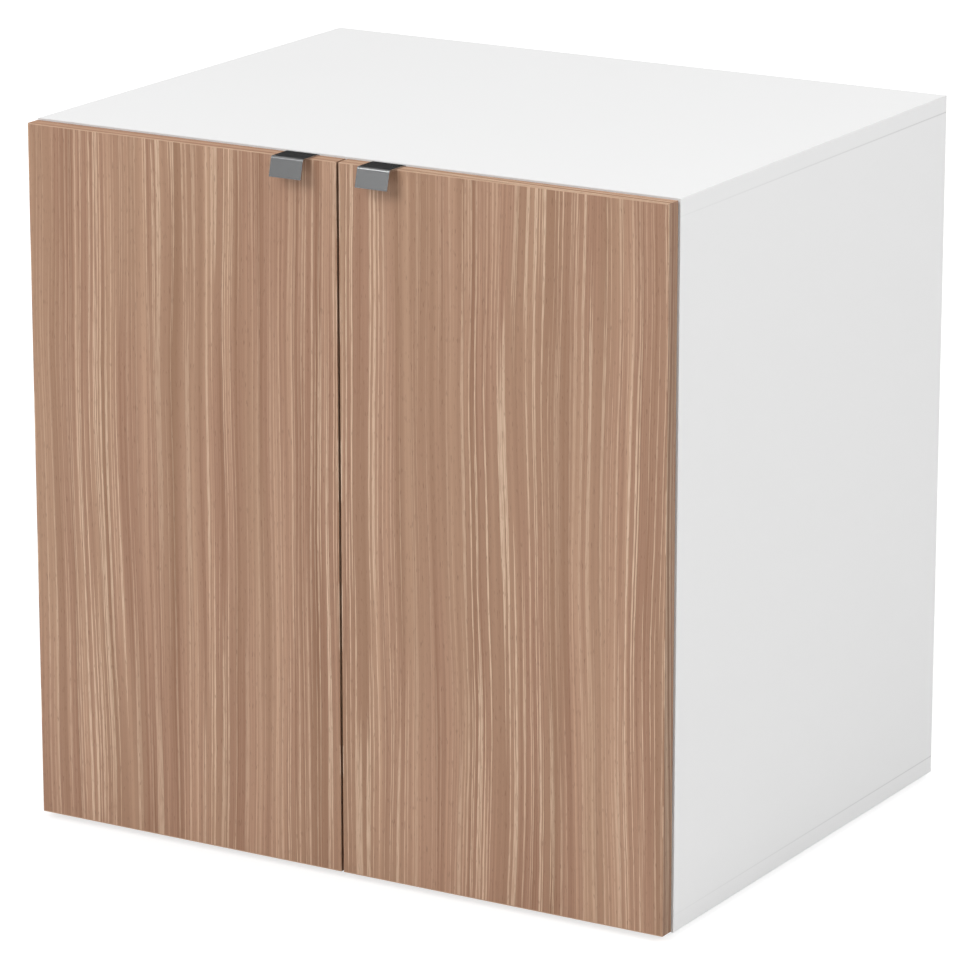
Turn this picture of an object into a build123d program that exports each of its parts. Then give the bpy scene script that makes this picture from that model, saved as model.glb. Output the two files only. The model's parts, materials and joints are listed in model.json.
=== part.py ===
from build123d import *
import os

os.makedirs("parts", exist_ok=True)

# Two-door cube storage cabinet. Millimetres, +Z up, front towards -Y.

# carcass boards
WIDTH = 762.0
HEIGHT = 762.0
DEPTH = 590.0
PANEL = 18.0
BAND = 1.0

# thin back panel, loose in a groove
GROOVE_W = 6.4
GROOVE_D = 8.0
BACK_INSET = 12.0
BACK_PLAY = 0.2
BACK_SHORT = 0.5

# glides, each nailed to the underside
GLIDE_H = 5.0
GLIDE_R = 15.0
GLIDE_EASE = 1.5
GLIDE_INSET = 40.0
NAIL_R = 1.5
NAIL_LONG = 12.0

# doors
DOOR_T = 18.0
DOOR_GAP = 2.0
REVEAL = 1.5
MEETING_GAP = 3.0
BUMPER_R = 4.0
BUMPER_T = 1.9
BUMPER_EASE = 0.8
BUMPER_INSET = 24.0

# shelf
SHELF_D = 540.0
SHELF_SETBACK = 20.0
SHELF_SIDE_GAP = 1.0

# shelf pins: a stem in the side, a collar against it, a ribbed tongue under the shelf
PIN_R = 2.5
PIN_DEEP = 9.0
PIN_PITCH = 32.0
PIN_STEPS = 3
PIN_ROWS = (57.0, 523.0)
COLLAR_R = 4.0
COLLAR_T = 0.9
COLLAR_DROP = 1.5
TONGUE_LONG = 10.0
TONGUE_W = 7.0
TONGUE_T = 1.6
RIB_R = 1.9
RIB_LONG = 8.0
RIB_DROP = 0.6

# corner joints: cam locks and their bolts, and dowels
CAM_ROWS = (60.0, 530.0)
CAM_END = 34.0
CAM_R = 7.4
CAM_SKIN = 5.5
CAM_SINK = 0.2
CAM_SLOT = (9.0, 1.4, 1.6)
CHANNEL_R = 3.35
COVER_R = 8.5
COVER_T = 0.8
BOLT_THREAD_R = 2.45
BOLT_SHANK_R = 3.2
BOLT_NECK_R = 1.8
BOLT_HEAD_R = 2.9
BOLT_THREAD = 11.0
BOLT_NECK = 6.0
BOLT_HEAD = (-1.0, 2.5)
DOWEL_ROWS = (110.0, 480.0)
DOWEL_R = 3.95
DOWEL_IN_DECK = 11.5
DOWEL_IN_SIDE = 18.5
DOWEL_EASE = 0.8

# holes: play around a piece, and room past its end
PLAY = 0.05
CAM_PLAY = 0.1
PAST = 1.0

# pulls, folded from one sheet over the door's top edge
PULL_W = 38.0
PULL_NEAR = 32.0
PULL_T = 1.5
PULL_REACH = 13.0
PULL_LIP = 20.0
PULL_LEAN = 5.0
PULL_LEG = 22.0
PULL_BEND = 1.6
PULL_POCKET_PLAY = 0.3
PULL_SCREW_X = 11.0
PULL_SCREW_UP = 7.0
PULL_SCREW_R = 1.5
PULL_SCREW_HEAD_R = 2.7
PULL_SCREW_DEEP = 13.0
PULL_SCREW_PLAY = 0.25

# concealed hinges, measured from the outer face of the side panel (u)
# and from the front plane of the carcass (v)
HINGE_END = 100.0
ARM_PIVOT = (32.39, -5.45)
CUP_PIVOT = (14.64, -5.49)
INNER_PIVOT = (37.94, 16.10)
INNER_END = (10.32, -4.46)
OUTER_KNEE = (23.88, -9.47)
INNER_KNEE = (17.86, -8.82)
LINK_HALF = 1.15
EYE_R = 2.3
PIVOT_R = 1.25
PRESSED = 0.01
INNER_Z = 3.0
OUTER_Z = (3.4, 5.9)
CHEEK_Z = (6.6, 8.4)
ARM_PIN_Z = (3.3, 8.8)
CUP_PIN_Z = (3.3, 9.4)

# hinge cup: 35 mm bore in the door
CUP_U = 22.0
CUP_R = 17.4
CUP_DEEP = 11.4
CUP_WALL = 1.1
FLANGE_U = (19.5, 37.0)
FLANGE_HALF = 31.0
FLANGE_T = 1.0
FLANGE_ROUND = 7.0
CUP_CHEEK_U = (12.0, 17.4)
CUP_CHEEK_UP = 2.4
CUP_SCREW_U = 31.5
CUP_SCREW_Z = 24.0
CUP_SCREW_R = 1.7
CUP_SCREW_HEAD = (3.4, 1.3)
CUP_SCREW_DEEP = 13.0

# hinge arm: outline of its cheeks, with the folded back that joins them
ARM_NOSE = [(25.5, 10.0), (29.4, 0.0), (29.6, -6.4), (30.7, -8.1), (33.6, -8.3), (34.9, -6.9), (34.9, -0.6)]
ARM_BACK = [(42.2, 13.0), (42.2, 20.0), (33.0, 33.0), (33.0, 64.0)]
ARM_FOOT = [(20.3, 64.0), (20.3, 24.0)]
ARM_WEB_T = 1.6
ARM_SCREW_V = (40.0, 56.0)
ARM_SCREW_R = 2.0
ARM_SCREW_HEAD = (3.8, 1.8)
ARM_SCREW_LONG = 10.0
ARM_HOLE_R = 2.3

# mounting plate: wings screwed to the side, rail under the arm
PLATE_V = 37.0
PLATE_T = 2.0
WING_HALF_V = 9.0
WING_HALF_Z = 24.0
WING_ROUND = 6.0
RAIL_HALF_Z = 6.2
RAIL_FOOT_V = (22.0, 66.0)
RAIL_V = (26.0, 64.0)
RAIL_TOP = 27.0
PLATE_SCREW_Z = 16.0
PLATE_SCREW_R = 3.1
PLATE_SCREW_HEAD = (4.4, 1.6)
PLATE_SCREW_LONG = 15.0
PLATE_HOLE_R = 3.3

# derived positions
HALF = WIDTH / 2
INNER = -HALF + PANEL
MID_BOARD = -HALF + PANEL / 2
LIP_EDGE = PULL_T / 2 * PULL_LIP / (PULL_LIP**2 + PULL_LEAN**2) ** 0.5
LIP_OUT = DOOR_GAP + DOOR_T + PULL_REACH + PULL_LEAN + LIP_EDGE
FRONT = -(DEPTH + LIP_OUT) / 2 + LIP_OUT
BACK = FRONT + DEPTH
LOW = GLIDE_H
SIDE_LOW = LOW + PANEL
SIDE_TOP = HEIGHT - PANEL
SHELF_Z = (SIDE_LOW + SIDE_TOP - PANEL) / 2
SHELF_REACH = HALF - PANEL - SHELF_SIDE_GAP
SHELF_FRONT = FRONT + SHELF_SETBACK
DOOR_LOW = LOW + REVEAL
DOOR_TOP = HEIGHT - REVEAL
DOOR_OUT = -HALF + REVEAL
DOOR_IN = -MEETING_GAP / 2
DOOR_BACK = FRONT - DOOR_GAP
DOOR_FRONT = DOOR_BACK - DOOR_T
PULL_X = -PULL_NEAR - PULL_W / 2
HINGE_Z = {"upper": DOOR_TOP - HINGE_END, "lower": DOOR_LOW + HINGE_END}
PLATE_FACE = PANEL + PLATE_T


def box(x, y, z):
    size = (x[1] - x[0], y[1] - y[0], z[1] - z[0])
    mid = ((x[0] + x[1]) / 2, (y[0] + y[1]) / 2, (z[0] + z[1]) / 2)
    return Pos(*mid) * Box(*size)


def rod_x(x, y, z, r):
    return Pos((x[0] + x[1]) / 2, y, z) * Rot(0, 90, 0) * Cylinder(r, abs(x[1] - x[0]))


def rod_y(x, y, z, r):
    return Pos(x, (y[0] + y[1]) / 2, z) * Rot(90, 0, 0) * Cylinder(r, abs(y[1] - y[0]))


def rod_z(x, y, z, r):
    return Pos(x, y, (z[0] + z[1]) / 2) * Cylinder(r, abs(z[1] - z[0]))


def span(middle, half):
    return (middle - half, middle + half)


def group(pieces):
    return Compound(children=list(pieces))


def flipped(shape):
    return mirror(shape, about=Plane.YZ)


def both_sides(pieces):
    return list(pieces) + [flipped(p) for p in pieces]


def save(name, shape):
    export_step(shape, "parts/" + name + ".step")


def save_pair(name, pieces):
    """Write a left piece and its mirror image on the right."""
    save("left_" + name, pieces[0] if len(pieces) == 1 else group(pieces))
    right = [flipped(p) for p in pieces]
    save("right_" + name, right[0] if len(right) == 1 else group(right))


def screw(head, shank_r, shank_long, slots=1):
    """Slotted screw along Z, with the underside of its head at the origin."""
    head_r, head_h = head
    body = rod_z(0, 0, (0, head_h), head_r) + rod_z(0, 0, (-shank_long, 0), shank_r)
    slot = box(span(0, 0.7 * head_r), span(0, 0.15 * head_r), (head_h / 2, head_h + PAST))
    for n in range(slots):
        body = body - Rot(0, 0, 90 * n) * slot
    return body


# corner joints


def joint_ends():
    """Every corner of the left side: z of the joint plane, direction into the side, row."""
    for z, into in ((SIDE_TOP, -1), (SIDE_LOW, 1)):
        for row in range(2):
            yield z, into, row


def cam_bolt(z, into, row):
    y = FRONT + CAM_ROWS[row]
    head_at, head_end = (z + into * (CAM_END + reach) for reach in BOLT_HEAD)
    neck_at = head_at - into * BOLT_NECK
    thread = rod_z(MID_BOARD, y, (z - into * BOLT_THREAD, z), BOLT_THREAD_R)
    shank = rod_z(MID_BOARD, y, (z, neck_at), BOLT_SHANK_R)
    neck = rod_z(MID_BOARD, y, (neck_at, head_at), BOLT_NECK_R)
    head = rod_z(MID_BOARD, y, (head_at, head_end), BOLT_HEAD_R)
    return thread + shank + neck + head


def cam_lock(z, into, row):
    y = FRONT + CAM_ROWS[row]
    end = z + into * CAM_END
    face = INNER - CAM_SINK
    body = rod_x((-HALF + CAM_SKIN + CAM_SINK, face), y, end, CAM_R)
    room = (end - into * (CAM_R + PAST), end + into * (BOLT_HEAD[1] + PAST))
    channel = rod_z(MID_BOARD, y, room, CHANNEL_R)
    long, wide, deep = CAM_SLOT
    slot = box((face - deep, face + PAST), span(y, long / 2), span(end, wide / 2))
    return body - channel - slot


def cam_cover(z, into, row):
    return rod_x((INNER, INNER + COVER_T), FRONT + CAM_ROWS[row], z + into * CAM_END, COVER_R)


def dowel(z, into, row):
    y = FRONT + DOWEL_ROWS[row]
    pin = rod_z(MID_BOARD, y, (z - into * DOWEL_IN_DECK, z + into * DOWEL_IN_SIDE), DOWEL_R)
    return chamfer(pin.edges().filter_by(GeomType.CIRCLE), DOWEL_EASE)


def side_joint_holes():
    holes = []
    for z, into, row in joint_ends():
        y = FRONT + CAM_ROWS[row]
        end = z + into * CAM_END
        holes.append(rod_x((-HALF + CAM_SKIN, INNER + PAST), y, end, CAM_R + CAM_PLAY))
        holes.append(rod_z(MID_BOARD, y, (z - into * PAST, end), BOLT_SHANK_R + 2 * CAM_PLAY))
        dowel_room = (z - into * PAST, z + into * (DOWEL_IN_SIDE + PAST))
        holes.append(rod_z(MID_BOARD, FRONT + DOWEL_ROWS[row], dowel_room, DOWEL_R + PLAY))
    return holes


def deck_joint_holes():
    holes = []
    for z, into, row in joint_ends():
        for rows, long, r in ((CAM_ROWS, BOLT_THREAD, BOLT_THREAD_R), (DOWEL_ROWS, DOWEL_IN_DECK, DOWEL_R)):
            room = (z - into * (long + PAST), z + into * PAST)
            holes.append(rod_z(MID_BOARD, FRONT + rows[row], room, r + PLAY))
    return holes


# carcass panels


def back_groove():
    y = (BACK - BACK_INSET - GROOVE_W, BACK - BACK_INSET)
    reach = HALF - PANEL + GROOVE_D
    return box((-reach, reach), y, (SIDE_LOW - GROOVE_D, SIDE_TOP + GROOVE_D))


def back_panel():
    reach = HALF - PANEL + GROOVE_D - BACK_SHORT
    y = (BACK - BACK_INSET - GROOVE_W + BACK_PLAY, BACK - BACK_INSET - BACK_PLAY)
    z = (SIDE_LOW - GROOVE_D + BACK_SHORT, SIDE_TOP + GROOVE_D - BACK_SHORT)
    return box((-reach, reach), y, z)


def deck(z):
    """Top or bottom panel, running over the ends of both sides."""
    core = box((-HALF + BAND, HALF - BAND), (FRONT + BAND, BACK), z)
    return core - back_groove() - both_sides(deck_joint_holes())


def deck_bands(z):
    front = box((-HALF, HALF), (FRONT, FRONT + BAND), z)
    end = box((-HALF, -HALF + BAND), (FRONT + BAND, BACK), z)
    return [front, end, flipped(end)]


def side_panel():
    core = box((-HALF, INNER), (FRONT + BAND, BACK), (SIDE_LOW, SIDE_TOP))
    core = core - back_groove() - side_joint_holes()
    cuts = []
    for row in PIN_ROWS:
        for step in range(-PIN_STEPS, PIN_STEPS + 1):
            z = SHELF_Z - PIN_R + step * PIN_PITCH
            cuts.append(rod_x((INNER - PIN_DEEP - PAST, INNER + PAST), FRONT + row, z, PIN_R + PLAY))
    for zc in HINGE_Z.values():
        for z in span(zc, PLATE_SCREW_Z):
            depth = PLATE_SCREW_LONG - PLATE_T + PAST
            cuts.append(rod_x((INNER - depth, INNER + PAST), FRONT + PLATE_V, z, PLATE_SCREW_R + PLAY))
    return core - cuts


def side_band():
    return box((-HALF, INNER), (FRONT, FRONT + BAND), (SIDE_LOW, SIDE_TOP))


def glide(x, y):
    foot = rod_z(x, y, (0, GLIDE_H), GLIDE_R)
    foot = chamfer(foot.edges().sort_by(Axis.Z)[0], GLIDE_EASE)
    return foot + rod_z(x, y, (GLIDE_H, GLIDE_H + NAIL_LONG), NAIL_R)


def glide_spots():
    for x in (-HALF + GLIDE_INSET, HALF - GLIDE_INSET):
        for y in (FRONT + GLIDE_INSET, BACK - GLIDE_INSET):
            yield x, y


def bottom_panel():
    nails = [rod_z(x, y, (LOW - PAST, LOW + NAIL_LONG + PAST), NAIL_R + PLAY) for x, y in glide_spots()]
    return deck((LOW, SIDE_LOW)) - nails


# shelf


def shelf():
    y = (SHELF_FRONT + BAND, SHELF_FRONT + SHELF_D)
    return box((-SHELF_REACH, SHELF_REACH), y, (SHELF_Z, SHELF_Z + PANEL))


def shelf_band():
    return box((-SHELF_REACH, SHELF_REACH), (SHELF_FRONT, SHELF_FRONT + BAND), (SHELF_Z, SHELF_Z + PANEL))


def shelf_pin(row):
    y = FRONT + row
    z = SHELF_Z - PIN_R
    stem = rod_x((INNER - PIN_DEEP, INNER), y, z, PIN_R)
    collar = rod_x((INNER, INNER + COLLAR_T), y, z - COLLAR_DROP, COLLAR_R)
    tongue = box((INNER, INNER + TONGUE_LONG), span(y, TONGUE_W / 2), (SHELF_Z - TONGUE_T, SHELF_Z))
    rib = rod_x((INNER, INNER + RIB_LONG), y, z - RIB_DROP, RIB_R)
    return stem + collar + tongue + rib


# doors


def leg_pocket():
    """Shallow pocket in the door's back for the pull's rear leg, deeper at the top for its bend."""
    x = span(PULL_X, PULL_W / 2 + PULL_POCKET_PLAY)
    top = DOOR_TOP + PAST
    leg = (DOOR_BACK - PULL_T - CAM_PLAY, DOOR_BACK + PAST)
    bend = (DOOR_BACK - PULL_T - PAST, DOOR_BACK + PAST)
    return box(x, leg, (DOOR_TOP - PULL_LEG - PULL_POCKET_PLAY, top)) + box(x, bend, (DOOR_TOP - BAND, top))


def pull_screw_spots():
    for x in span(PULL_X, PULL_SCREW_X):
        yield x, DOOR_TOP - PULL_LEG + PULL_SCREW_UP


def cup_screw_spots():
    for zc in HINGE_Z.values():
        for z in span(zc, CUP_SCREW_Z):
            yield -HALF + CUP_SCREW_U, z


def door_core():
    z = (DOOR_LOW + BAND, DOOR_TOP - BAND)
    slab = box((DOOR_OUT + BAND, DOOR_IN - BAND), (DOOR_FRONT, DOOR_BACK), z)
    cuts = [leg_pocket()]
    for zc in HINGE_Z.values():
        bore = (DOOR_BACK - CUP_DEEP - CAM_PLAY, DOOR_BACK + PAST)
        cuts.append(rod_y(-HALF + CUP_U, bore, zc, CUP_R + CAM_PLAY))
    for x, z in pull_screw_spots():
        cuts.append(rod_y(x, (DOOR_BACK - PULL_SCREW_DEEP - PAST, DOOR_BACK + PAST), z, PULL_SCREW_R + PLAY))
    for x, z in cup_screw_spots():
        cuts.append(rod_y(x, (DOOR_BACK - CUP_SCREW_DEEP - PAST, DOOR_BACK + PAST), z, CUP_SCREW_R + PLAY))
    return slab - cuts


def door_bands():
    y = (DOOR_FRONT, DOOR_BACK)
    z = (DOOR_LOW + BAND, DOOR_TOP - BAND)
    top = box((DOOR_OUT, DOOR_IN), y, (DOOR_TOP - BAND, DOOR_TOP)) - leg_pocket()
    bottom = box((DOOR_OUT, DOOR_IN), y, (DOOR_LOW, DOOR_LOW + BAND))
    outer = box((DOOR_OUT, DOOR_OUT + BAND), y, z)
    inner = box((DOOR_IN - BAND, DOOR_IN), y, z)
    return [top, bottom, outer, inner]


def countersink(x, z, play=0.0):
    """Cone through the pull's rear leg, widest at the door's back."""
    cone = Cone(PULL_SCREW_R + play, PULL_SCREW_HEAD_R + play, PULL_T)
    return Pos(x, DOOR_BACK - PULL_T / 2, z) * Rot(-90, 0, 0) * cone


def pull():
    """Sheet folded over the door's top edge: rear leg, flat leaf and leaning front lip."""
    half = PULL_T / 2
    top = DOOR_TOP + half
    nose = DOOR_FRONT - PULL_REACH
    path = FilletPolyline(
        (DOOR_BACK - half, DOOR_TOP - PULL_LEG),
        (DOOR_BACK - half, top),
        (nose, top),
        (nose - PULL_LEAN, top - PULL_LIP),
        radius=PULL_BEND,
    )
    face = Plane.YZ * trace(path, PULL_T)
    body = Pos(PULL_X - PULL_W / 2, 0, 0) * extrude(face, PULL_W, dir=(1, 0, 0))
    return body - [countersink(x, z, PULL_SCREW_PLAY) for x, z in pull_screw_spots()]


def pull_screw(x, z):
    shank = rod_y(x, (DOOR_BACK - PULL_SCREW_DEEP, DOOR_BACK - PULL_T), z, PULL_SCREW_R)
    slot = box(span(x, 0.7 * PULL_SCREW_HEAD_R), (DOOR_BACK - PULL_T / 2, DOOR_BACK + PAST),
               span(z, 0.15 * PULL_SCREW_HEAD_R))
    return countersink(x, z) + shank - slot


def bumper(z):
    pad = rod_y(DOOR_IN - BUMPER_INSET, (DOOR_BACK, DOOR_BACK + BUMPER_T), z, BUMPER_R)
    return fillet(pad.edges().filter_by(GeomType.CIRCLE).sort_by(Axis.Y)[-1], BUMPER_EASE)


# concealed hinge, drawn in u and v about its own middle height


def placed(pieces, level):
    return [Pos(-HALF, FRONT, HINGE_Z[level]) * p for p in pieces]


def mirrored_z(z):
    return (z, (-z[1], -z[0]))


def outline(points, z):
    face = make_face(Polyline(*points, close=True))
    return Pos(0, 0, z[0]) * extrude(face, z[1] - z[0], dir=(0, 0, 1))


def capsule(a, b, half):
    line = Line(a, b)
    mid = line @ 0.5
    turn = (line % 0).get_angle(Vector(1, 0, 0))
    if b[1] < a[1]:
        turn = -turn
    return Pos(mid.X, mid.Y) * SlotCenterToCenter(line.length, 2 * half, rotation=turn)


def bent_link(first, knee, last, z):
    """Flat stamped link with an eye at each end and a crank at the knee."""
    flat = capsule(first, knee, LINK_HALF) + capsule(knee, last, LINK_HALF)
    flat = flat + Pos(*first) * Circle(EYE_R) + Pos(*last) * Circle(EYE_R)
    return Pos(0, 0, z[0]) * extrude(flat, z[1] - z[0], dir=(0, 0, 1))


def outer_links():
    plates = []
    for z in mirrored_z(OUTER_Z):
        plate = bent_link(ARM_PIVOT, OUTER_KNEE, CUP_PIVOT, z)
        for u, v in (ARM_PIVOT, CUP_PIVOT):
            plate = plate - rod_z(u, v, span(0, OUTER_Z[1] + PAST), PIVOT_R + PLAY)
        plates.append(plate)
    return plates


def inner_link():
    through = span(0, INNER_Z + PAST)
    link = bent_link(INNER_PIVOT, INNER_KNEE, INNER_END, span(0, INNER_Z))
    link = link - rod_z(*INNER_PIVOT, through, PIVOT_R + PLAY)
    return link - rod_z(*INNER_END, through, PIVOT_R)


def arm_pins():
    stubs = [rod_z(*ARM_PIVOT, z, PIVOT_R) for z in mirrored_z(ARM_PIN_Z)]
    return stubs + [rod_z(*INNER_PIVOT, span(0, ARM_PIN_Z[1]), PIVOT_R)]


def cup_pins():
    return [rod_z(*CUP_PIVOT, z, PIVOT_R) for z in mirrored_z(CUP_PIN_Z)]


def hinge_arm():
    """Folded channel: two cheeks that carry the pivots, joined by a web at the back."""
    arm = [outline(ARM_NOSE + ARM_BACK + ARM_FOOT, z) for z in mirrored_z(CHEEK_Z)]
    web_inside = [(u - ARM_WEB_T, v) for u, v in reversed(ARM_BACK)]
    arm = arm[0] + arm[1] + outline(ARM_BACK + web_inside, span(0, CHEEK_Z[1]))
    for u, v in (ARM_PIVOT, INNER_PIVOT):
        arm = arm - rod_z(u, v, span(0, CHEEK_Z[1] + PAST), PIVOT_R + PRESSED)
    seat = ARM_BACK[-1][0]
    return arm - [rod_x(span(seat, 2 * ARM_WEB_T), v, 0, ARM_HOLE_R) for v in ARM_SCREW_V]


def arm_screws():
    seat = ARM_BACK[-1][0]
    turned = Rot(0, 90, 0) * screw(ARM_SCREW_HEAD, ARM_SCREW_R, ARM_SCREW_LONG)
    return [Pos(seat, v, 0) * turned for v in ARM_SCREW_V]


def hinge_plate():
    """Winged mounting plate with the raised rail that the arm clips on."""
    base = (PANEL, PLATE_FACE)
    wings = box(base, span(PLATE_V, WING_HALF_V), span(0, WING_HALF_Z))
    plate = fillet(wings.edges().filter_by(Axis.X), WING_ROUND)
    plate = plate + box(base, RAIL_FOOT_V, span(0, RAIL_HALF_Z))
    plate = plate + box((PLATE_FACE, RAIL_TOP), RAIL_V, span(0, RAIL_HALF_Z))
    deep = ARM_BACK[-1][0] - ARM_SCREW_LONG
    for v in ARM_SCREW_V:
        plate = plate - rod_x((deep - PLAY, RAIL_TOP + PAST), v, 0, ARM_SCREW_R + PLAY)
    for dz in span(0, PLATE_SCREW_Z):
        plate = plate - rod_x((PANEL - PAST, PLATE_FACE + PAST), PLATE_V, dz, PLATE_HOLE_R)
    return plate


def plate_screws():
    turned = Rot(0, 90, 0) * screw(PLATE_SCREW_HEAD, PLATE_SCREW_R, PLATE_SCREW_LONG, slots=2)
    return [Pos(PLATE_FACE, PLATE_V, dz) * turned for dz in span(0, PLATE_SCREW_Z)]


def hinge_cup():
    """Pressed cup with a winged flange and two inner cheeks that hold the cup pivot."""
    back = -DOOR_GAP
    floor = back - CUP_DEEP
    hollow = CUP_R - CUP_WALL
    wing = box(FLANGE_U, (back, back + FLANGE_T), span(0, FLANGE_HALF))
    wing = fillet(wing.edges().filter_by(Axis.Y), FLANGE_ROUND)
    cup = rod_y(CUP_U, (floor, back), 0, CUP_R) + wing
    cup = cup - rod_y(CUP_U, (floor + CUP_WALL, back + FLANGE_T + PAST), 0, hollow)
    inside = rod_y(CUP_U, (floor, back), 0, CUP_R - CUP_WALL / 2)
    for z in mirrored_z((CHEEK_Z[0], CUP_R)):
        cheek = box(CUP_CHEEK_U, (floor + CUP_WALL / 2, CUP_PIVOT[1] + CUP_CHEEK_UP), z)
        cup = cup + (cheek & inside)
    cup = cup - rod_z(*CUP_PIVOT, span(0, CUP_PIN_Z[1] + PLAY), PIVOT_R + PRESSED)
    for dz in span(0, CUP_SCREW_Z):
        cup = cup - rod_y(CUP_SCREW_U, span(back, 2 * FLANGE_T), dz, CUP_SCREW_R + CAM_PLAY)
    return cup


def cup_screw(x, z):
    flange = DOOR_BACK + FLANGE_T
    turned = Rot(-90, 0, 0) * screw(CUP_SCREW_HEAD, CUP_SCREW_R, CUP_SCREW_DEEP)
    return Pos(x, flange, z) * turned


# carcass files
save("top_panel", deck((SIDE_TOP, HEIGHT)))
save("top_edge_bands", group(deck_bands((SIDE_TOP, HEIGHT))))
save("bottom_panel", bottom_panel())
save("bottom_edge_bands", group(deck_bands((LOW, SIDE_LOW))))
save_pair("side_panel", [side_panel()])
save_pair("side_edge_band", [side_band()])
save("back_panel", back_panel())
save("glides", group([glide(x, y) for x, y in glide_spots()]))
save("shelf", shelf())
save("shelf_edge_band", shelf_band())
save("shelf_pins", group(both_sides([shelf_pin(row) for row in PIN_ROWS])))
fittings = {"cam_bolts": cam_bolt, "cam_locks": cam_lock, "cam_covers": cam_cover, "dowels": dowel}
for name, maker in fittings.items():
    save(name, group(both_sides([maker(*corner) for corner in joint_ends()])))

# door files
save_pair("door", [door_core()])
save_pair("door_edge_bands", door_bands())
save_pair("pull", [pull()])
save_pair("pull_screws", [pull_screw(x, z) for x, z in pull_screw_spots()])
save_pair("bumpers", [bumper(HEIGHT - PANEL / 2), bumper(LOW + PANEL / 2)])
save_pair("cup_screws", [cup_screw(x, z) for x, z in cup_screw_spots()])
save_pair("cup_pins", placed(cup_pins(), "upper") + placed(cup_pins(), "lower"))

# hinge files
for level in HINGE_Z:
    save_pair(level + "_hinge_plate", placed([hinge_plate()], level))
    save_pair(level + "_hinge_arm", placed([hinge_arm()], level))
    save_pair(level + "_outer_links", placed(outer_links(), level))
    save_pair(level + "_inner_link", placed([inner_link()], level))
    save_pair(level + "_hinge_cup", placed([hinge_cup()], level))
for name, maker in {"arm_pins": arm_pins, "arm_screws": arm_screws, "plate_screws": plate_screws}.items():
    save(name, group(both_sides(placed(maker(), "upper") + placed(maker(), "lower"))))
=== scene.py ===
import json
import math
import bpy
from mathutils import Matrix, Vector

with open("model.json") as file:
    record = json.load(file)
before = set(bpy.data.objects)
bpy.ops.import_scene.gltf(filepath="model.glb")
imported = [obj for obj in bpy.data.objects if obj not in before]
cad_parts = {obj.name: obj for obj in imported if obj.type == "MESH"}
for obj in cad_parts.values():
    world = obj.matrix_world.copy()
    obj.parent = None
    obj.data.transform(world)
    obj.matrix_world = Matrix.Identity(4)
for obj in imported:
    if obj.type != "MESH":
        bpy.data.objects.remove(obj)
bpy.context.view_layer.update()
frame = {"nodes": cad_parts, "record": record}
nodes = frame["nodes"]

# Camera fitted to the cabinet's corners in the photograph: degrees, metres and millimetres of lens.
CAM_AZIMUTH = 30.67
CAM_ELEVATION = 15.59
CAM_DISTANCE = 5.669
CAM_TARGET = Vector((-0.0031, 0.0, 0.3524))
CAM_LENS = 196.5
CAM_SENSOR = 36.0
CAM_REACH = 100.0


def direction(azimuth, elevation):
    """Unit vector away from the cabinet: azimuth 0 leaves the doors, 90 the right side."""
    a = math.radians(azimuth)
    e = math.radians(elevation)
    return Vector((math.sin(a) * math.cos(e), -math.cos(a) * math.cos(e), math.sin(e)))


def srgb(r, g, b):
    """Linear colour of three sRGB values from 0 to 255."""
    def linear(v):
        v = v / 255.0
        return v / 12.92 if v <= 0.04045 else ((v + 0.055) / 1.055) ** 2.4

    return (linear(r), linear(g), linear(b), 1.0)


def even(level):
    """Grey of one linear level."""
    return (level, level, level, 1.0)


def darker(colour, share):
    return tuple(c * (1.0 - share) for c in colour[:3]) + (1.0,)


class Shader:
    """Short way to write a node tree: each call adds one node and links or sets its inputs."""

    def __init__(self, owner):
        self.tree = owner.node_tree
        self.tree.nodes.clear()

    def add(self, kind, inputs=None, **props):
        node = self.tree.nodes.new(kind)
        for key, value in props.items():
            setattr(node, key, value)
        for key, value in (inputs or {}).items():
            socket = node.inputs[key]
            if isinstance(value, bpy.types.NodeSocket):
                self.tree.links.new(value, socket)
            else:
                socket.default_value = value
        return node

    def math(self, operation, a, b=0.0, c=0.0):
        return self.add("ShaderNodeMath", {0: a, 1: b, 2: c}, operation=operation).outputs[0]

    def vector(self, operation, a, b=(0.0, 0.0, 0.0)):
        return self.add("ShaderNodeVectorMath", {0: a, 1: b}, operation=operation)

    def spread(self, value, low, high, to_low=0.0, to_high=1.0, smooth=True):
        inputs = {"Value": value, "From Min": low, "From Max": high, "To Min": to_low, "To Max": to_high}
        kind = "SMOOTHSTEP" if smooth else "LINEAR"
        return self.add("ShaderNodeMapRange", inputs, interpolation_type=kind).outputs[0]

    def mix(self, factor, a, b, blend="MIX"):
        inputs = {0: factor, 6: a, 7: b}
        return self.add("ShaderNodeMix", inputs, data_type="RGBA", blend_type=blend).outputs[2]

    def shade(self, base, factor):
        """Base colour times one number."""
        grey = self.add("ShaderNodeCombineXYZ", {0: factor, 1: factor, 2: factor}).outputs[0]
        return self.mix(1.0, base, grey, "MULTIPLY")

    def noise(self, vector, scale=1.0, detail=2.0, roughness=0.5):
        inputs = {"Vector": vector, "Scale": scale, "Detail": detail, "Roughness": roughness}
        return self.add("ShaderNodeTexNoise", inputs).outputs["Fac"]

    def coords(self, kind="Object"):
        return self.add("ShaderNodeTexCoord").outputs[kind]

    def split(self, vector):
        return self.add("ShaderNodeSeparateXYZ", {0: vector}).outputs[:]

    def bump(self, height, strength, depth):
        inputs = {"Strength": strength, "Distance": depth, "Height": height}
        return self.add("ShaderNodeBump", inputs).outputs[0]

    def mirrored(self):
        """The light path, and 1 for rays that arrive by way of a reflection or through a clear body."""
        path = self.add("ShaderNodeLightPath").outputs
        return path, self.math("MAXIMUM", path["Is Glossy Ray"], path["Is Transmission Ray"])

    def surface(self, shader, kind="ShaderNodeOutputMaterial"):
        out = self.add(kind)
        self.tree.links.new(shader.outputs[0], out.inputs["Surface"])


def material(name):
    mat = bpy.data.materials.new(name)
    mat.use_nodes = True
    return mat, Shader(mat)


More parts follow.
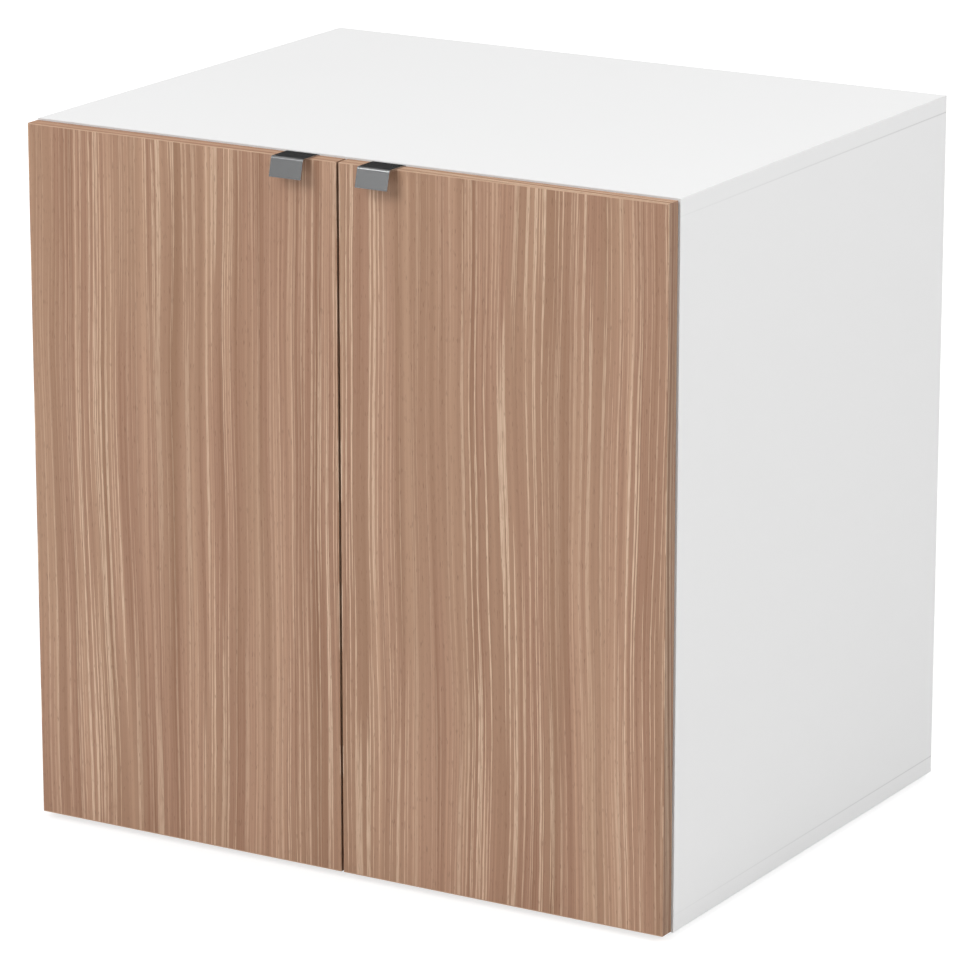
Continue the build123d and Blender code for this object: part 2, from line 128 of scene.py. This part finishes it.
# Wood: fine straight grain that drifts slowly, cream veins in loose groups, calm patches between.
WOOD_DARK = srgb(146, 107, 82)
WOOD_MID = srgb(170, 131, 107)
WOOD_LIGHT = srgb(202, 165, 138)
WOOD_VEIN = srgb(230, 201, 174)
WOOD_PORE = srgb(118, 84, 64)
WOOD_OLIVE = srgb(171, 140, 111)
WOOD_SHEEN = 0.35
WOOD_BUMP = 0.2
WOOD_BUMP_DEPTH = 0.0003
BEECH_GAIN = 1.2

# Edge strips, by the way they face: painted light that makes level ones lighter and painted shade that makes
# vertical ones darker, also in the gap between the doors.
STRIP_FACING = 0.6
STRIP_LEVEL_PAINTED_LIGHT = 1.05
STRIP_UPRIGHT_PAINTED_SHADE = 0.72
STRIP_SHEEN = 0.12

# Layers of noise: changes per metre across and along the grain, a shift, and detail and roughness if any.
HAIR = (520.0, 2.4, 5.9, 1.0, 0.6)
CALM = (19.0, 1.5, 11.0, 1.0)
VEIN_GROUPS = (17.0, 0.8, 35.7, 1.0)
VEINS = ((310.0, 1.0, 2.2), (400.0, 1.3, 17.0), (490.0, 1.6, 29.0))
SPECKLE = (700.0, 45.0, 8.8)
PORES = (700.0, 90.0, 4.4, 1.0)
LAYER_SKEW = 0.7

# Layers with a share: of the tone, or in metres for the way the lines wander sideways.
TONES = (((24.0, 0.7, 9.4), 0.4), ((80.0, 1.1, 4.7), 0.6), ((190.0, 1.2, 1.3, 1.0), 0.6))
WANDERS = (((5.0, 1.9, 3.1), 0.026), ((26.0, 4.5, 12.6), 0.0056), ((170.0, 30.0, 7.3), 0.0007))

# How a layer is spread: its low and high value, and what these become where that isn't 0 and 1.
CALM_SPREAD = (0.56, 0.40)
HAIR_SHARE_SPREAD = (0.0, 1.0, 0.7, 0.2)
DARK_TO_MID = (0.12, 0.5)
MID_TO_LIGHT = (0.5, 0.95)
GROUP_SPREAD = (0.38, 0.62, 0.3, 1.0)
SPECKLE_SPREAD = (0.3, 0.6, 0.6, 1.0)
VEIN_SPREAD = (0.665, 0.71)
PORE_SPREAD = (0.62, 0.74, 0.0, 0.4)
WOOD_ROUGH_SPREAD = (0.2, 0.8, 0.42, 0.56)
NOISE_MEAN = 0.5
OLIVE_SHARE = 0.22
VEIN_SHARE = 0.76
HAIR_HEIGHT = 0.6


class Grain:
    """Noise drawn out along the grain of a board, or along each strip of an edging."""

    def __init__(self, s, strip):
        x, y, z = s.split(s.coords())
        self.s = s
        self.across = x
        self.along = z
        if strip:
            # Masks of vertical and level strips: the level one also turns the grain, the vertical one only
            # carries painted shade.
            facing = s.split(s.coords("Normal"))
            self.upright_shade_mask = s.math("GREATER_THAN", s.math("ABSOLUTE", facing[0]), STRIP_FACING)
            self.level = s.math("GREATER_THAN", s.math("ABSOLUTE", facing[2]), STRIP_FACING)
            self.along = s.math("MULTIPLY_ADD", s.math("SUBTRACT", x, z), self.level, z)
            self.across = y
        bent = self.across
        for layer, reach in WANDERS:
            bent = s.math("MULTIPLY_ADD", self.swing(self.lines(*layer)), reach, bent)
        self.across = bent

    def lines(self, times_across, times_along, shift, detail=0.0, roughness=0.5):
        s = self.s
        u = s.math("MULTIPLY_ADD", self.across, times_across, shift)
        v = s.math("MULTIPLY_ADD", self.along, times_along, LAYER_SKEW * shift)
        place = s.add("ShaderNodeCombineXYZ", {0: u, 1: v}).outputs[0]
        return s.noise(place, 1.0, detail, roughness)

    def swing(self, layer):
        """A layer's swing to either side of its mean."""
        return self.s.math("SUBTRACT", layer, NOISE_MEAN)


def wood_tone(s, g, hair, calm):
    """Brown ground of the wood, darker and lighter by line, with an olive cast in the calm patches."""
    tone = NOISE_MEAN
    layers = [(g.lines(*layer), share) for layer, share in TONES]
    layers.append((hair, s.spread(calm, *HAIR_SHARE_SPREAD, smooth=False)))
    for layer, share in layers:
        tone = s.math("MULTIPLY_ADD", g.swing(layer), share, tone)
    base = s.mix(s.spread(tone, *DARK_TO_MID, smooth=False), WOOD_DARK, WOOD_MID)
    base = s.mix(s.spread(tone, *MID_TO_LIGHT, smooth=False), base, WOOD_LIGHT)
    return s.mix(s.math("MULTIPLY", calm, OLIVE_SHARE), base, WOOD_OLIVE)


def wood_veins(s, g):
    """Strength of the cream veins, which come in groups and break up into specks."""
    vein = 0.0
    for layer in VEINS:
        vein = s.math("MAXIMUM", vein, s.spread(g.lines(*layer), *VEIN_SPREAD))
    group = s.spread(g.lines(*VEIN_GROUPS), *GROUP_SPREAD)
    speckle = s.spread(g.lines(*SPECKLE), *SPECKLE_SPREAD)
    vein = s.math("MULTIPLY", s.math("MULTIPLY", vein, group), speckle)
    return s.math("MULTIPLY", vein, VEIN_SHARE)


def wood(name, strip=False, gain=1.0, sheen=WOOD_SHEEN):
    mat, s = material(name)
    g = Grain(s, strip)
    hair = g.lines(*HAIR)
    calm = s.spread(g.lines(*CALM), *CALM_SPREAD)
    pore = s.spread(g.lines(*PORES), *PORE_SPREAD)
    base = wood_tone(s, g, hair, calm)
    base = s.mix(wood_veins(s, g), base, WOOD_VEIN)
    base = s.mix(pore, base, WOOD_PORE)
    # Painted light and shade on the edge strips: level strips lighter, vertical strips darker.
    if strip:
        painted_light_and_shade = s.spread(g.upright_shade_mask, 0.0, 1.0, 1.0, STRIP_UPRIGHT_PAINTED_SHADE)
        painted_light_and_shade = s.spread(g.level, 0.0, 1.0, painted_light_and_shade, STRIP_LEVEL_PAINTED_LIGHT)
        base = s.shade(base, painted_light_and_shade)
    if gain != 1.0:
        base = s.mix(1.0, base, even(gain), "MULTIPLY")
    height = s.math("SUBTRACT", s.math("MULTIPLY", hair, HAIR_HEIGHT), pore)
    inputs = {
        "Base Color": base,
        "Roughness": s.spread(hair, *WOOD_ROUGH_SPREAD, smooth=False),
        "Normal": s.bump(height, WOOD_BUMP, WOOD_BUMP_DEPTH),
        "Specular IOR Level": sheen,
    }
    s.surface(s.add("ShaderNodeBsdfPrincipled", inputs))
    return mat


# Joints between the sides and the decks, which show as fine dark lines on the outside: painted shade along
# the hairline joints, fainter to the front.
side_points = [v.co for v in nodes["right_side_panel"].data.vertices]
SEAMS = (min(p.z for p in side_points), max(p.z for p in side_points))
SEAM_SKIN = 0.0002
SEAM_FACE = max(p.x for p in side_points) - SEAM_SKIN
SEAM_FRONT = min(p.y for p in side_points)
SEAM_BACK = max(p.y for p in side_points)
SEAM_HALF = 0.0011
SEAM_CORE = 0.2 * SEAM_HALF
SEAM_FAINT = 0.03
SEAM_DARK = 0.2


def seam_painted_shade(s, base):
    x, y, z = s.split(s.coords())
    line = 0.0
    for height in SEAMS:
        away = s.math("ABSOLUTE", s.math("SUBTRACT", z, height))
        line = s.math("MAXIMUM", line, s.spread(away, SEAM_HALF, SEAM_CORE))
    outside = s.math("GREATER_THAN", s.math("ABSOLUTE", x), SEAM_FACE)
    depth = s.spread(y, SEAM_FRONT, SEAM_BACK, SEAM_FAINT, SEAM_DARK, smooth=False)
    line = s.math("MULTIPLY", s.math("MULTIPLY", line, outside), depth)
    return s.shade(base, s.math("SUBTRACT", 1.0, line))


# Plain finishes: clouds per metre, the shares of clouds and specks, and how far roughness varies.
CLOUDS = 6.0
CLOUD_SHARE = 0.6
SPECK_SHARE = 0.4
SPECK_RANGE = (0.3, 0.7)
PLAIN_ROUGH_VARIES = 0.07
PLAIN_BUMP_DEPTH = 0.0002
SOFT_REACH = 0.002


def plain(name, colour, rough, mottle, specks, bump, metallic=0.0, soft=0.0, painted_seam_shade=False, sheen=0.5):
    """Smooth painted, moulded or plated finish with faint mottling."""
    mat, s = material(name)
    coords = s.coords()
    cloud = s.noise(coords, CLOUDS)
    speck = s.noise(coords, specks)
    mottling = s.math("MULTIPLY_ADD", speck, SPECK_SHARE, s.math("MULTIPLY", cloud, CLOUD_SHARE))
    base = s.mix(mottling, darker(colour, mottle), colour)
    # Painted shade along the side joints.
    if painted_seam_shade:
        base = seam_painted_shade(s, base)
    smoothest = rough * (1.0 - PLAIN_ROUGH_VARIES)
    roughest = rough * (1.0 + PLAIN_ROUGH_VARIES)
    inputs = {
        "Base Color": base,
        "Roughness": s.spread(speck, *SPECK_RANGE, smoothest, roughest, smooth=False),
        "Normal": s.bump(speck, bump, PLAIN_BUMP_DEPTH),
        "Metallic": metallic,
        "Specular IOR Level": sheen,
    }
    if soft:
        inputs["Subsurface Weight"] = soft
        inputs["Subsurface Scale"] = SOFT_REACH
    s.surface(s.add("ShaderNodeBsdfPrincipled", inputs))
    return mat


# Brushed metal: scratches per metre along each axis, clouds per metre, and their shares.
SCRATCHES = (30.0, 2200.0, 2200.0)
SCRATCH_ROUGHNESS = 0.6
SCRATCH_RANGE = (0.25, 0.75)
BRUSH_CLOUDS = 40.0
BRUSH_LINE_SHARE = 0.7
BRUSH_CLOUD_SHARE = 0.3
BRUSH_DARKENS = 0.08
BRUSH_ROUGH_VARIES = 0.06
BRUSH_BUMP_DEPTH = 0.0001


def brushed(name, colour, rough, bump):
    """Metal with fine scratches that run along X."""
    mat, s = material(name)
    coords = s.coords()
    line = s.noise(s.vector("MULTIPLY", coords, SCRATCHES).outputs[0], roughness=SCRATCH_ROUGHNESS)
    cloud = s.noise(coords, BRUSH_CLOUDS)
    wear = s.math("MULTIPLY_ADD", line, BRUSH_LINE_SHARE, s.math("MULTIPLY", cloud, BRUSH_CLOUD_SHARE))
    smoothest = rough * (1.0 - BRUSH_ROUGH_VARIES)
    roughest = rough * (1.0 + BRUSH_ROUGH_VARIES)
    inputs = {
        "Base Color": s.mix(wear, darker(colour, BRUSH_DARKENS), colour),
        "Roughness": s.spread(line, *SCRATCH_RANGE, smoothest, roughest, smooth=False),
        "Normal": s.bump(line, bump, BRUSH_BUMP_DEPTH),
        "Metallic": 1.0,
    }
    s.surface(s.add("ShaderNodeBsdfPrincipled", inputs))
    return mat


WHITE = even(0.88)
HARDBOARD = (0.82, 0.82, 0.81, 1.0)
STEEL = (0.47, 0.475, 0.48, 1.0)
NICKEL = (0.66, 0.65, 0.62, 1.0)
ZINC = (0.62, 0.64, 0.67, 1.0)
CAST_ZINC = (0.5, 0.51, 0.53, 1.0)
COVER = (0.84, 0.84, 0.83, 1.0)
NYLON = (0.72, 0.72, 0.70, 1.0)
BUMPER = (0.78, 0.79, 0.78, 1.0)


# White melamine, with painted shade along the side joints.
def white(name):
    return plain(name, WHITE, rough=0.55, mottle=0.012, specks=1400.0, bump=0.05, painted_seam_shade=True, sheen=0.12)


def plated(name, colour, rough, mottle, specks, bump):
    return plain(name, colour, rough, mottle, specks, bump, metallic=1.0)


looks = {
    "white_board": white("white_melamine"),
    "white_band": white("white_edge"),
    "white_hardboard": plain("white_hardboard", HARDBOARD, rough=0.6, mottle=0.03, specks=700.0, bump=0.1),
    "walnut_board": wood("door_wood"),
    "walnut_band": wood("door_edge_wood", strip=True, sheen=STRIP_SHEEN),
    "pull_steel": brushed("pull_steel", STEEL, rough=0.18, bump=0.02),
    "hinge_nickel": plated("hinge_nickel", NICKEL, rough=0.27, mottle=0.04, specks=500.0, bump=0.01),
    "screw_zinc": plated("zinc_screw", ZINC, rough=0.34, mottle=0.1, specks=600.0, bump=0.04),
    "cam_zinc": plated("cast_zinc", CAST_ZINC, rough=0.5, mottle=0.15, specks=700.0, bump=0.12),
    "cover_plastic": plain("cover_plastic", COVER, rough=0.42, mottle=0.03, specks=900.0, bump=0.05),
    "beech": wood("beech_dowel", gain=BEECH_GAIN),
    "nylon": plain("nylon_glide", NYLON, rough=0.5, mottle=0.05, specks=900.0, bump=0.08, soft=0.15),
    "clear_bumper": plain("soft_bumper", BUMPER, rough=0.25, mottle=0.05, specks=400.0, bump=0.02, soft=0.3),
}
for sub in frame["record"]["subparts"]:
    mesh = nodes[sub["node"]].data
    mesh.materials.clear()
    mesh.materials.append(looks[sub["material_slot"]])

# Slightly eased edges on the boards, strips and pulls: metres, by the last word of the node's name.
EASED = {"panel": 0.0004, "band": 0.0003, "bands": 0.0003, "door": 0.0002, "shelf": 0.0004, "pull": 0.0003}
EASED_SEGMENTS = 2
EASED_ANGLE = 40.0
for name, obj in nodes.items():
    width = EASED.get(name.split("_")[-1])
    if width:
        bevel = obj.modifiers.new("eased", "BEVEL")
        bevel.width = width
        bevel.segments = EASED_SEGMENTS
        bevel.limit_method = "ANGLE"
        bevel.angle_limit = math.radians(EASED_ANGLE)
        bevel.harden_normals = True

# Floor: white to the eye and in reflections, pale to the light, with the cabinet's own shadow.
FLOOR_SIZE = 60.0
FLOOR_LIT = even(0.90)
FLOOR_SHADE = even(0.38)
FLOOR_GLOW_SPREAD = (1.2, 4.5, 0.74, 1.0)
FULL_WHITE = even(1.0)


def floor_material():
    mat, s = material("floor_white")
    path, mirrored = s.mirrored()
    seen = s.math("MAXIMUM", path["Is Camera Ray"], mirrored)
    lit = s.add("ShaderNodeBsdfDiffuse", {"Color": FLOOR_LIT})
    shade = s.add("ShaderNodeBsdfDiffuse", {"Color": FLOOR_SHADE})
    away = s.vector("LENGTH", s.coords()).outputs["Value"]
    bright = s.spread(away, *FLOOR_GLOW_SPREAD)
    glow = s.add("ShaderNodeEmission", {"Color": FULL_WHITE, "Strength": bright})
    both = s.add("ShaderNodeAddShader", {0: shade.outputs[0], 1: glow.outputs[0]})
    s.surface(s.add("ShaderNodeMixShader", {0: seen, 1: lit.outputs[0], 2: both.outputs[0]}))
    return mat


bpy.ops.mesh.primitive_plane_add(size=FLOOR_SIZE, location=(0, 0, 0))
floor = bpy.context.object
floor.name = "floor"
floor.data.materials.append(floor_material())

# World: a bright ceiling over a dark surround, white to the eye and, near the horizon, in reflections.
SKY_SPREAD = (0.26, 0.72, 0.04, 0.38)
HORIZON_SPREAD = (0.10, 0.03)


def studio_world():
    world = bpy.data.worlds.new("studio")
    world.use_nodes = True
    s = Shader(world)
    up = s.split(s.coords("Generated"))[2]
    level = s.spread(up, *SKY_SPREAD)
    sky = s.add("ShaderNodeBackground", {"Color": FULL_WHITE, "Strength": level})
    white_out = s.add("ShaderNodeBackground", {"Color": FULL_WHITE, "Strength": 1.0})
    path, mirrored = s.mirrored()
    mirrored = s.math("MULTIPLY", mirrored, s.spread(up, *HORIZON_SPREAD))
    seen = s.math("MAXIMUM", path["Is Camera Ray"], mirrored)
    blend = s.add("ShaderNodeMixShader", {0: seen, 1: sky.outputs[0], 2: white_out.outputs[0]})
    s.surface(blend, "ShaderNodeOutputWorld")
    return world


bpy.context.scene.world = studio_world()

# Soft boxes on all sides: azimuth, elevation, width in metres and power in watts.
LAMP_CENTRE = Vector((0.0, 0.0, 0.38))
LAMP_DISTANCE = 4.6
LAMPS = {
    "key_front": (-14.0, 36.0, 2.6, 97.0),
    "fill_right": (82.0, 36.0, 2.4, 88.0),
    "fill_left": (-100.0, 38.0, 2.4, 52.0),
    "fill_back": (176.0, 42.0, 2.4, 50.0),
    "low_strip": (-31.0, 12.0, 1.2, 1.1),
}
for name, (azimuth, elevation, size, power) in LAMPS.items():
    lamp = bpy.data.lights.new(name, "AREA")
    lamp.shape = "SQUARE"
    lamp.size = size
    lamp.energy = power
    soft_box = bpy.data.objects.new(name, lamp)
    bpy.context.collection.objects.link(soft_box)
    away = direction(azimuth, elevation)
    soft_box.location = LAMP_CENTRE + away * LAMP_DISTANCE
    soft_box.rotation_euler = away.to_track_quat("Z", "Y").to_euler()

camera = bpy.data.cameras.new("camera")
camera.lens = CAM_LENS
camera.sensor_width = CAM_SENSOR
camera.clip_end = CAM_REACH
eye_point = bpy.data.objects.new("camera", camera)
bpy.context.collection.objects.link(eye_point)
towards = direction(CAM_AZIMUTH, CAM_ELEVATION)
eye_point.location = CAM_TARGET + towards * CAM_DISTANCE
eye_point.rotation_mode = "QUATERNION"
eye_point.rotation_quaternion = (-towards).to_track_quat("-Z", "Y")
bpy.context.scene.camera = eye_point
bpy.context.scene.view_settings.view_transform = "Standard"
